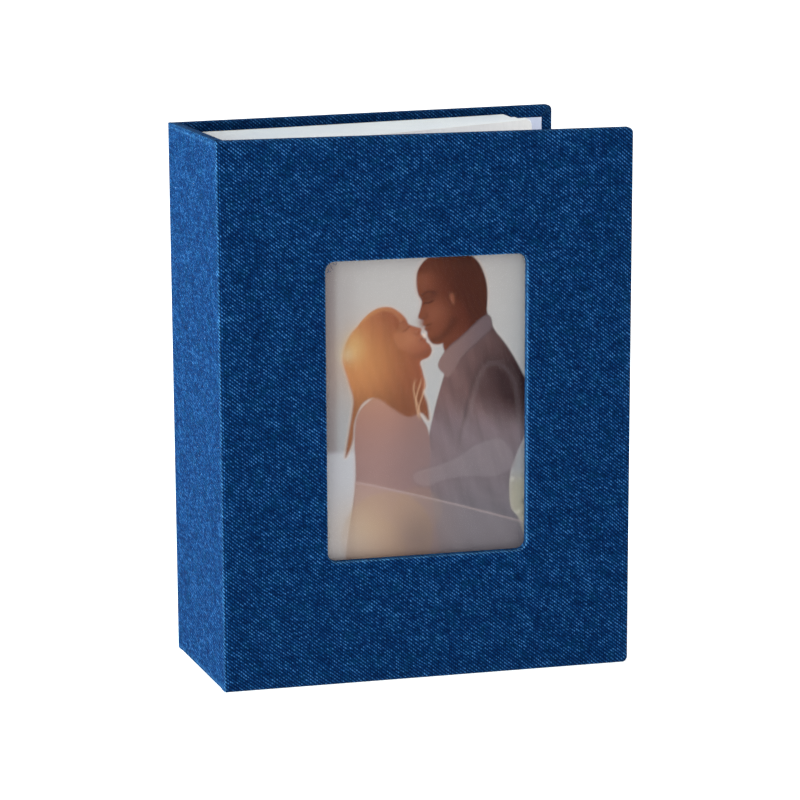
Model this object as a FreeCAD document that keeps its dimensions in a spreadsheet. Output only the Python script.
"""Cloth-bound slip-in photo album standing on its tail edge, ajar.

A case of three greyboards wrapped in one linen book cloth holds a block of pocket leaves. The front board has a
window with a clear film, and a print slides in a pocket behind it. The leaves are glued at the spine between stub
guards, so the block is as thick as the spine there and much thinner at the fore-edge, where it lies against the
rear cover.

Frame: +X from the spine to the fore-edge, +Y from the front cover to the rear cover, +Z up, millimetres. The origin
is at the bottom centre of the album's box as it stands.

Each cover is drawn shut, in its own frame: the origin is on its hinge line, +X runs to the fore-edge, and depth is
measured from the middle of the cloth into the album (+Y for the front cover, -Y for the rear one). Its Placement
then opens it. The spine is drawn from its outer face (x = 0) and from the front of the shut album (y = 0).
"""

import FreeCAD
import Part
import math
import os

import Sketcher

# alias: (value in mm or degrees, what it is)
SIZES = {
    "album_height": (175.0, "height of the covers"),
    "cover_width": (133.5, "spine face to fore-edge, over the cloth"),
    "spine_width": (54.0, "front face to rear face of the shut album"),
    "front_ajar": (6.0, "angle of the front cover from square, degrees"),
    "rear_ajar": (1.6, "angle of the rear cover from square, degrees"),
    "cloth_thick": (0.45, "linen book cloth with its paper backing"),
    "board_thick": (2.5, "greyboard"),
    "edge_round": (0.9, "radius of the cloth over a board's edge"),
    "corner_round": (2.2, "radius of a cover's corner at the fore-edge"),
    "turn_in": (15.0, "cloth turned in over the edges of a board"),
    "joint_gap": (0.8, "hinge line to the edge of a cover board"),
    "hinge_clear": (0.15, "between the bead at the joint and the spine's cloth"),
    "spine_inset": (3.8, "outer face of a cover to the edge of the spine board"),
    "window_left": (33.9, "spine face to the window"),
    "window_wide": (65.1, "width of the window between its cloth edges"),
    "window_foot": (40.1, "tail edge of the cover to the window"),
    "window_tall": (96.2, "height of the window"),
    "window_round": (3.0, "radius of the window's corners"),
    "window_flap": (6.0, "cloth turned in round the window"),
    "film_thick": (0.15, "clear polyester film"),
    "film_clear": (0.1, "film to print"),
    "print_thick": (0.3, "photographic print"),
    "print_wide": (75.0, "width of the print"),
    "print_tall": (107.0, "height of the print"),
    "pocket_thick": (0.7, "depth of the print's pocket"),
    "pocket_play": (0.6, "play each side of the print in its pocket"),
    "paper_thick": (0.25, "pastedown and spine lining"),
    "paper_inset": (4.0, "bare cloth round a pastedown"),
    "lining_play": (0.4, "spine board to the edge of its lining"),
    "mull_thick": (0.4, "glued gauze over the back of the block"),
    "mull_inset": (8.0, "head and tail of the covers to the gauze"),
    "leaf_thick": (0.22, "pocket leaf: paper core and two films"),
    "leaf_pitch": (1.5, "leaf to leaf at the spine"),
    "leaf_square": (3.0, "leaves set back from the covers' head and tail"),
    "front_leaf_wide": (113.0, "crease to fore-edge, front leaves"),
    "middle_leaf_wide": (109.5, "the same for the middle leaves"),
    "rear_leaf_wide": (107.7, "the same for the rear leaves"),
    "front_leaf_lean": (16.0, "lean of the front flyleaf towards the rear, degrees"),
    "rear_leaf_lean": (2.2, "lean of the rear flyleaf, degrees"),
    "guard_wide": (5.8, "width of a stub guard"),
    "crease_gap": (0.25, "guard to the crease where a leaf starts"),
}
LEAVES = 28
SHEETS = LEAVES + 2  # the leaves and a flyleaf at each end of the block
FRONT_SHEETS = 10
MIDDLE_SHEETS = 6

Z_AXIS = FreeCAD.Vector(0, 0, 1)
OVERCUT = 1.0  # how far a cut runs past the face it starts from
SMALL = 1e-6
INTO_FRONT = 1
INTO_REAR = -1

doc = FreeCAD.newDocument("photo_album")
sheet = doc.addObject("Spreadsheet::Sheet", "sizes")
for row, (alias, (value, meaning)) in enumerate(SIZES.items(), start=1):
    sheet.set(f"A{row}", alias.replace("_", " "))
    sheet.set(f"B{row}", str(value))
    sheet.set(f"C{row}", meaning)
    sheet.setAlias(f"B{row}", alias)
doc.recompute()


# ---------------------------------------------------------------- expressions
# A place or a size is an expression: aliases and numbers, added, subtracted or multiplied.
def factor_value(factor):
    if factor in SIZES:
        return float(sheet.get(factor))
    return float(factor)


def size(expression):
    """The value of an expression, with each alias read from the spreadsheet."""
    total = 0.0
    for term in expression.replace("- ", "+ -").split("+"):
        negative = term.strip().startswith("-")
        product = -1.0 if negative else 1.0
        for factor in term.replace("-", " ").split("*"):
            product *= factor_value(factor.strip())
        total += product
    return total


def on_sheet(expression):
    """The same expression for setExpression, with each alias as a cell of the spreadsheet."""
    words = expression.replace("(", "( ").replace(")", " )").split()
    return " ".join(f"sizes.{word}" if word in SIZES else word for word in words)


# ---------------------------------------------------------------- places
FORE_EDGE = "cover_width - cloth_thick * 0.5"
TO_FACE = "0 - cloth_thick * 0.5"
TO_BOARD = "cloth_thick * 0.5"
TO_TURN_IN = "cloth_thick * 0.5 + board_thick"
TO_LINER = "cloth_thick * 1.5 + board_thick"
SPINE_INSIDE = "cloth_thick * 2 + board_thick"
BLOCK_BACK = f"{SPINE_INSIDE} + paper_thick + mull_thick"
HALF_BLOCK = f"leaf_pitch * {(SHEETS - 1) / 2}"
FIRST_SHEET = f"spine_width * 0.5 - {HALF_BLOCK}"
LEAF_TALL = "album_height - leaf_square * 2"
WINDOW_LEFT = "window_left - cloth_thick * 0.5"
PRINT_LEFT = "window_left + window_wide * 0.5 - print_wide * 0.5 - cloth_thick * 0.5"
PRINT_RIGHT = f"{PRINT_LEFT} + print_wide"
PRINT_FOOT = "window_foot + window_tall * 0.5 - print_tall * 0.5"
PRINT_HEAD = f"{PRINT_FOOT} + print_tall"


def turned(x, y, degrees):
    """The point (x, y) turned about the origin."""
    angle = math.radians(degrees)
    return (
        x * math.cos(angle) - y * math.sin(angle),
        x * math.sin(angle) + y * math.cos(angle),
    )


def box_centre():
    """Centre of the standing album's box in the spine's frame, from the round edges of the two open covers."""
    radius = size("edge_round")
    half_cloth = size("cloth_thick * 0.5")
    reach = size(FORE_EDGE) - radius
    depths = (radius - half_cloth, size(TO_LINER) - radius)
    front = [turned(reach, depth, -size("front_ajar")) for depth in depths]
    rear = [turned(reach, -depth, size("rear_ajar")) for depth in depths]
    far_x = half_cloth + max(x for x, _ in front + rear) + radius
    low_y = half_cloth + min(y for _, y in front) - radius
    high_y = size("spine_width") - half_cloth + max(y for _, y in rear) + radius
    return far_x / 2, (low_y + high_y) / 2


def placed(x, y, degrees):
    """A placement at a point of the spine's frame, turned about the vertical."""
    centre_x, centre_y = box_centre()
    return FreeCAD.Placement(
        FreeCAD.Vector(x - centre_x, y - centre_y, 0), FreeCAD.Rotation(Z_AXIS, degrees)
    )


SPINE_PLACE = placed(0, 0, 0)
FRONT_PLACE = placed(size("cloth_thick * 0.5"), size("cloth_thick * 0.5"), -size("front_ajar"))
REAR_PLACE = placed(
    size("cloth_thick * 0.5"), size("spine_width - cloth_thick * 0.5"), size("rear_ajar")
)
parts = []


# ---------------------------------------------------------------- drawing
def new_body(label, placement):
    body = doc.addObject("PartDesign::Body", label)
    body.Label = label
    body.Placement = placement
    parts.append(body)
    return body


def new_sketch(body, name, role, offset="0"):
    """A sketch on one of the body's origin planes, moved along the plane's normal by an expression."""
    sketch = body.newObject("Sketcher::SketchObject", name)
    plane = next(p for p in body.Origin.OriginFeatures if p.Role == role)
    sketch.AttachmentSupport = [(plane, "")]
    sketch.MapMode = "FlatFace"
    sketch.setExpression("AttachmentOffset.Base.z", on_sheet(offset))
    return sketch


def bind(sketch, constraint, name, expression):
    """Adds a constraint whose value follows the spreadsheet."""
    index = sketch.addConstraint(constraint)
    sketch.renameConstraint(index, name)
    sketch.setExpression(f"Constraints.{name}", on_sheet(expression))


def add_line(sketch, x0, y0, x1, y1):
    start = FreeCAD.Vector(x0, y0, 0)
    end = FreeCAD.Vector(x1, y1, 0)
    return sketch.addGeometry(Part.LineSegment(start, end), False)


def add_arc(sketch, x, y, radius, start):
    """A quarter turn, anticlockwise from an angle in degrees."""
    circle = Part.Circle(FreeCAD.Vector(x, y, 0), Z_AXIS, radius)
    arc = Part.ArcOfCircle(circle, math.radians(start), math.radians(start + 90))
    return sketch.addGeometry(arc, False)


def rectangle(sketch, name, left, right, low, high, radius=None, square_left=False):
    """A rectangle bound to the spreadsheet. A radius rounds all its corners, or only those at its right."""
    x0, x1, y0, y1 = (size(edge) for edge in (left, right, low, high))
    right_r = size(radius) if radius else 0.0
    left_r = 0.0 if square_left else right_r
    foot = add_line(sketch, x0 + left_r, y0, x1 - right_r, y0)
    fore = add_line(sketch, x1, y0 + right_r, x1, y1 - right_r)
    head = add_line(sketch, x1 - right_r, y1, x0 + left_r, y1)
    back = add_line(sketch, x0, y1 - left_r, x0, y0 + left_r)
    for line in (foot, head):
        sketch.addConstraint(Sketcher.Constraint("Horizontal", line))
    for line in (fore, back):
        sketch.addConstraint(Sketcher.Constraint("Vertical", line))
    corners = (
        (foot, fore, x1 - right_r, y0 + right_r, 270, right_r),
        (fore, head, x1 - right_r, y1 - right_r, 0, right_r),
        (head, back, x0 + left_r, y1 - left_r, 90, left_r),
        (back, foot, x0 + left_r, y0 + left_r, 180, left_r),
    )
    arcs = []
    for before, after, centre_x, centre_y, start, corner_radius in corners:
        if corner_radius == 0:
            sketch.addConstraint(Sketcher.Constraint("Coincident", before, 2, after, 1))
            continue
        arc = add_arc(sketch, centre_x, centre_y, corner_radius, start)
        sketch.addConstraint(Sketcher.Constraint("Tangent", before, 2, arc, 1))
        sketch.addConstraint(Sketcher.Constraint("Tangent", arc, 2, after, 1))
        arcs.append(arc)
    for arc in arcs[1:]:
        sketch.addConstraint(Sketcher.Constraint("Equal", arcs[0], arc))
    if arcs:
        bind(sketch, Sketcher.Constraint("Radius", arcs[0], right_r), f"{name}_radius", radius)
    places = (
        ("left", "DistanceX", back, x0, left),
        ("right", "DistanceX", fore, x1, right),
        ("low", "DistanceY", foot, y0, low),
        ("high", "DistanceY", head, y1, high),
    )
    for edge, kind, line, place, expression in places:
        bind(sketch, Sketcher.Constraint(kind, -1, 1, line, 1, place), f"{name}_{edge}", expression)


def pad(body, sketch, length, reverse=False):
    feature = body.newObject("PartDesign::Pad", f"{sketch.Name}_pad")
    feature.Profile = sketch
    feature.setExpression("Length", on_sheet(length))
    feature.Reversed = reverse
    doc.recompute()


def pocket(body, sketch, depth, reverse=False):
    """Cuts the sketch's shape out of the body, and stops the script if the cut removes nothing."""
    before = body.Shape.Volume
    feature = body.newObject("PartDesign::Pocket", f"{sketch.Name}_pocket")
    feature.Profile = sketch
    feature.setExpression("Length", on_sheet(depth))
    feature.Reversed = reverse
    doc.recompute()
    if not body.Shape.Volume < before - 1.0:
        raise RuntimeError(f"{feature.Name} cut nothing")


def fillet(body, name, wanted):
    """Rounds every edge of the body that wanted(box of the edge) picks."""
    base = body.Tip
    edges = enumerate(base.Shape.Edges, start=1)
    picked = [f"Edge{index}" for index, edge in edges if wanted(edge.BoundBox)]
    feature = body.newObject("PartDesign::Fillet", name)
    feature.Base = (base, picked)
    feature.setExpression("Radius", on_sheet("edge_round"))
    doc.recompute()


# ---------------------------------------------------------------- covers
def cover_sketch(body, name, into, depth):
    """A sketch parallel to a cover at a depth into the album. The normal of the XZ plane is -Y."""
    offset = f"0 - ({depth})" if into == INTO_FRONT else depth
    return new_sketch(body, name, "XZ_Plane", offset)


def cover_pad(body, sketch, into, thickness):
    pad(body, sketch, thickness, reverse=into == INTO_FRONT)


def cover_pocket(body, sketch, into, depth):
    pocket(body, sketch, depth, reverse=into == INTO_REAR)


def window_outline(sketch, name, margin):
    """The window, grown all round by a margin."""
    rectangle(
        sketch,
        name,
        f"{WINDOW_LEFT} - {margin}",
        f"{WINDOW_LEFT} + window_wide + {margin}",
        f"window_foot - {margin}",
        f"window_foot + window_tall + {margin}",
        radius=f"window_round + {margin}",
    )


def board_outline(sketch, name, left):
    """A cover board, with round corners at the fore-edge."""
    rectangle(
        sketch,
        name,
        left,
        f"{FORE_EDGE} - cloth_thick",
        "cloth_thick",
        "album_height - cloth_thick",
        radius="corner_round - cloth_thick",
        square_left=True,
    )


def cover_board(label, into, placement, window):
    body = new_body(label, placement)
    sketch = cover_sketch(body, f"{label}_outline", into, TO_BOARD)
    board_outline(sketch, "board", "joint_gap")
    if window:
        window_outline(sketch, "window", "cloth_thick")
    cover_pad(body, sketch, into, "board_thick")


def cover_cloth(label, into, placement, window):
    """The cloth on one cover: outer face, wraps over the edges, turn-ins, and the joint to the spine."""
    body = new_body(label, placement)

    outline = cover_sketch(body, f"{label}_outline", into, TO_FACE)
    rectangle(
        outline,
        "cloth",
        "joint_gap",
        FORE_EDGE,
        "0",
        "album_height",
        radius="corner_round",
        square_left=True,
    )
    if window:
        window_outline(outline, "window", "0")
    cover_pad(body, outline, into, "board_thick + cloth_thick * 2")
    joint_edge = size("joint_gap") + SMALL
    fillet(body, f"{label}_edges", lambda box: box.YLength < SMALL and box.XMax > joint_edge)

    board_space = cover_sketch(body, f"{label}_board_space", into, TO_BOARD)
    board_outline(board_space, "space", f"joint_gap - {OVERCUT}")
    if window:
        window_outline(board_space, "wrap", "cloth_thick")
    cover_pocket(body, board_space, into, "board_thick")

    bare_board = cover_sketch(body, f"{label}_between_turn_ins", into, TO_TURN_IN)
    rectangle(
        bare_board,
        "bare",
        f"joint_gap - {OVERCUT}",
        f"{FORE_EDGE} - turn_in",
        "turn_in",
        "album_height - turn_in",
    )
    if window:
        window_outline(bare_board, "flap", "window_flap")
    cover_pocket(body, bare_board, into, f"cloth_thick + {OVERCUT}")

    joint = new_sketch(body, f"{label}_joint", "XY_Plane")
    joint_profile(joint)
    pad(body, joint, "album_height")


def joint_profile(sketch):
    """The cloth from a round bead on the hinge line to just inside the cover's wrap."""
    reach = size("joint_gap + edge_round")
    radius = size("cloth_thick * 0.5")
    outer = add_line(sketch, 0, -radius, reach, -radius)
    end = add_line(sketch, reach, -radius, reach, radius)
    inner = add_line(sketch, reach, radius, 0, radius)
    circle = Part.Circle(FreeCAD.Vector(0, 0, 0), Z_AXIS, radius)
    half_turn = Part.ArcOfCircle(circle, math.radians(90), math.radians(270))
    bead = sketch.addGeometry(half_turn, False)
    sketch.addConstraint(Sketcher.Constraint("Horizontal", outer))
    sketch.addConstraint(Sketcher.Constraint("Vertical", end))
    sketch.addConstraint(Sketcher.Constraint("Coincident", outer, 2, end, 1))
    sketch.addConstraint(Sketcher.Constraint("Coincident", end, 2, inner, 1))
    sketch.addConstraint(Sketcher.Constraint("Tangent", inner, 2, bead, 1))
    sketch.addConstraint(Sketcher.Constraint("Tangent", bead, 2, outer, 1))
    sketch.addConstraint(Sketcher.Constraint("Coincident", bead, 3, -1, 1))
    bind(sketch, Sketcher.Constraint("Radius", bead, radius), "bead", "cloth_thick * 0.5")
    across = Sketcher.Constraint("DistanceX", -1, 1, outer, 2, reach)
    bind(sketch, across, "reach", "joint_gap + edge_round")


def pastedown_outline(sketch, name):
    rectangle(
        sketch,
        name,
        "paper_inset",
        f"{FORE_EDGE} - paper_inset",
        "paper_inset",
        "album_height - paper_inset",
    )


def pastedown(label, into, placement, depth):
    """The paper that lines a cover inside its turn-ins."""
    body = new_body(label, placement)
    sketch = cover_sketch(body, f"{label}_outline", into, depth)
    pastedown_outline(sketch, "paper")
    cover_pad(body, sketch, into, "paper_thick")


def window_sheet(label, depth, thickness):
    """A film or a print behind the window."""
    body = new_body(label, FRONT_PLACE)
    sketch = cover_sketch(body, f"{label}_outline", INTO_FRONT, depth)
    rectangle(sketch, "sheet", PRINT_LEFT, PRINT_RIGHT, PRINT_FOOT, PRINT_HEAD)
    cover_pad(body, sketch, INTO_FRONT, thickness)


def pocket_card():
    """Card between the front board and its pastedown, with a channel for the print that is open at the head."""
    body = new_body("pocket_card", FRONT_PLACE)
    sketch = cover_sketch(body, "pocket_card_outline", INTO_FRONT, TO_LINER)
    pastedown_outline(sketch, "card")
    cover_pad(body, sketch, INTO_FRONT, "pocket_thick")
    channel = cover_sketch(body, "pocket_card_channel", INTO_FRONT, TO_LINER)
    rectangle(
        channel,
        "channel",
        f"{PRINT_LEFT} - pocket_play",
        f"{PRINT_RIGHT} + pocket_play",
        PRINT_FOOT,
        "album_height",
    )
    cover_pocket(body, channel, INTO_FRONT, "pocket_thick")


# ---------------------------------------------------------------- spine
def spine_layer(label, near, far, low, high, depth, thickness):
    """A flat layer of the spine, at a depth from its outer face."""
    body = new_body(label, SPINE_PLACE)
    sketch = new_sketch(body, f"{label}_outline", "YZ_Plane", depth)
    rectangle(sketch, "layer", near, far, low, high)
    pad(body, sketch, thickness)
    return body


def spine_cloth():
    """The cloth on the spine board: outer face, wraps over head and tail, and turn-ins."""
    near = "spine_inset"
    far = "spine_width - spine_inset"
    body = spine_layer("spine_cloth", near, far, "0", "album_height", "0", SPINE_INSIDE)
    fillet(body, "spine_cloth_edges", lambda box: box.YLength > OVERCUT and box.ZLength < SMALL)
    cuts = (
        ("board_space", "cloth_thick", "cloth_thick + board_thick", "board_thick"),
        ("between_turn_ins", "turn_in", f"{SPINE_INSIDE} + {OVERCUT}", f"cloth_thick + {OVERCUT}"),
    )
    for name, margin, start, depth in cuts:
        cut = new_sketch(body, f"spine_cloth_{name}", "YZ_Plane", start)
        rectangle(
            cut,
            name,
            f"{near} - {OVERCUT}",
            f"{far} + {OVERCUT}",
            margin,
            f"album_height - {margin}",
        )
        pocket(body, cut, depth)
    face = new_sketch(body, "spine_cloth_face", "YZ_Plane")
    rectangle(
        face,
        "face",
        "cloth_thick + hinge_clear",
        "spine_width - cloth_thick - hinge_clear",
        "edge_round",
        "album_height - edge_round",
    )
    pad(body, face, "cloth_thick")


# ---------------------------------------------------------------- leaf block
def back_strip(name, near, thickness):
    """An upright strip in the glued back of the block: a stub guard or the margin of a leaf."""
    box = doc.addObject("Part::Box", name)
    box.setExpression("Length", on_sheet("guard_wide"))
    box.setExpression("Width", on_sheet(thickness))
    box.setExpression("Height", on_sheet(LEAF_TALL))
    corner = FreeCAD.Vector(size(BLOCK_BACK), size(near), size("leaf_square"))
    box.Placement = SPINE_PLACE.multiply(FreeCAD.Placement(corner, FreeCAD.Rotation()))
    return box


def group(label, members):
    """Like pieces that share one node, each a solid of its own."""
    compound = doc.addObject("Part::Compound", label)
    compound.Label = label
    compound.Links = members
    parts.append(compound)


def sheet_lean(index):
    """Lean of a sheet in degrees. Equal steps of the sine space the fore-edges evenly."""
    front = math.sin(math.radians(size("front_leaf_lean")))
    rear = math.sin(math.radians(size("rear_leaf_lean")))
    return math.degrees(math.asin(front + (rear - front) * index / (SHEETS - 1)))


def sheet_width(index):
    if index < FRONT_SHEETS:
        return "front_leaf_wide"
    if index < FRONT_SHEETS + MIDDLE_SHEETS:
        return "middle_leaf_wide"
    return "rear_leaf_wide"


def crease_place(index):
    """The frame of a sheet: its origin on the crease, +X along the sheet."""
    x = size(f"{BLOCK_BACK} + guard_wide + crease_gap")
    y = size(f"{FIRST_SHEET} + leaf_pitch * {index}")
    return placed(x, y, sheet_lean(index))


def free_sheet(label, index):
    """The turning part of a leaf or a flyleaf, from its crease to its fore-edge."""
    box = doc.addObject("Part::Box", label)
    box.Label = label
    box.setExpression("Length", on_sheet(sheet_width(index)))
    box.setExpression("Width", on_sheet("leaf_thick"))
    box.setExpression("Height", on_sheet(LEAF_TALL))
    corner = FreeCAD.Vector(0, -size("leaf_thick * 0.5"), size("leaf_square"))
    box.Placement = crease_place(index).multiply(FreeCAD.Placement(corner, FreeCAD.Rotation()))
    parts.append(box)


# ---------------------------------------------------------------- the album
cover_board("front_board", INTO_FRONT, FRONT_PLACE, window=True)
cover_cloth("front_cloth", INTO_FRONT, FRONT_PLACE, window=True)
window_sheet("window_film", TO_LINER, "film_thick")
window_sheet("cover_print", f"{TO_LINER} + film_thick + film_clear", "print_thick")
pocket_card()
pastedown("front_pastedown", INTO_FRONT, FRONT_PLACE, f"{TO_LINER} + pocket_thick")

cover_board("rear_board", INTO_REAR, REAR_PLACE, window=False)
cover_cloth("rear_cloth", INTO_REAR, REAR_PLACE, window=False)
pastedown("rear_pastedown", INTO_REAR, REAR_PLACE, TO_LINER)

spine_layer(
    "spine_board",
    "spine_inset",
    "spine_width - spine_inset",
    "cloth_thick",
    "album_height - cloth_thick",
    "cloth_thick",
    "board_thick",
)
spine_cloth()
spine_layer(
    "spine_lining",
    "spine_inset + lining_play",
    "spine_width - spine_inset - lining_play",
    "paper_inset",
    "album_height - paper_inset",
    SPINE_INSIDE,
    "paper_thick",
)
spine_layer(
    "block_mull",
    f"{FIRST_SHEET} - leaf_thick * 0.5",
    f"{FIRST_SHEET} + {HALF_BLOCK} + {HALF_BLOCK} + leaf_thick * 0.5",
    "mull_inset",
    "album_height - mull_inset",
    f"{SPINE_INSIDE} + paper_thick",
    "mull_thick",
)

margins = []
guards = []
for index in range(SHEETS):
    margin_near = f"{FIRST_SHEET} + leaf_pitch * {index} - leaf_thick * 0.5"
    margins.append(back_strip(f"margin_{index:02d}", margin_near, "leaf_thick"))
    if index < SHEETS - 1:
        guard_near = f"{margin_near} + leaf_thick"
        guards.append(back_strip(f"guard_{index:02d}", guard_near, "leaf_pitch - leaf_thick"))
group("leaf_margins", margins)
group("stub_guards", guards)

free_sheet("front_flyleaf", 0)
for number in range(1, LEAVES + 1):
    free_sheet(f"leaf_{number:02d}", number)
free_sheet("rear_flyleaf", SHEETS - 1)

# ---------------------------------------------------------------- check and export
doc.recompute()
for thing in doc.Objects:
    if "Invalid" in thing.State or "Error" in thing.State:
        raise RuntimeError(f"{thing.Name} failed: {thing.State}")
for part in parts:
    if part.Shape.isNull() or not part.Shape.isValid() or not part.Shape.Solids:
        raise RuntimeError(f"{part.Label} has no valid solid")
os.makedirs("parts", exist_ok=True)
for part in parts:
    part.Shape.exportStep(f"parts/{part.Label}.step")

print(f"{len(parts)} parts")
for name, place in (("front hinge", FRONT_PLACE), ("rear hinge", REAR_PLACE), ("spine", SPINE_PLACE)):
    print(f"{name} at x {place.Base.x:.4f}, y {place.Base.y:.4f}")
for index in range(SHEETS):
    crease = crease_place(index).Base
    print(f"sheet {index} creases at x {crease.x:.4f}, y {crease.y:.4f}, leans {sheet_lean(index):.3f} degrees")
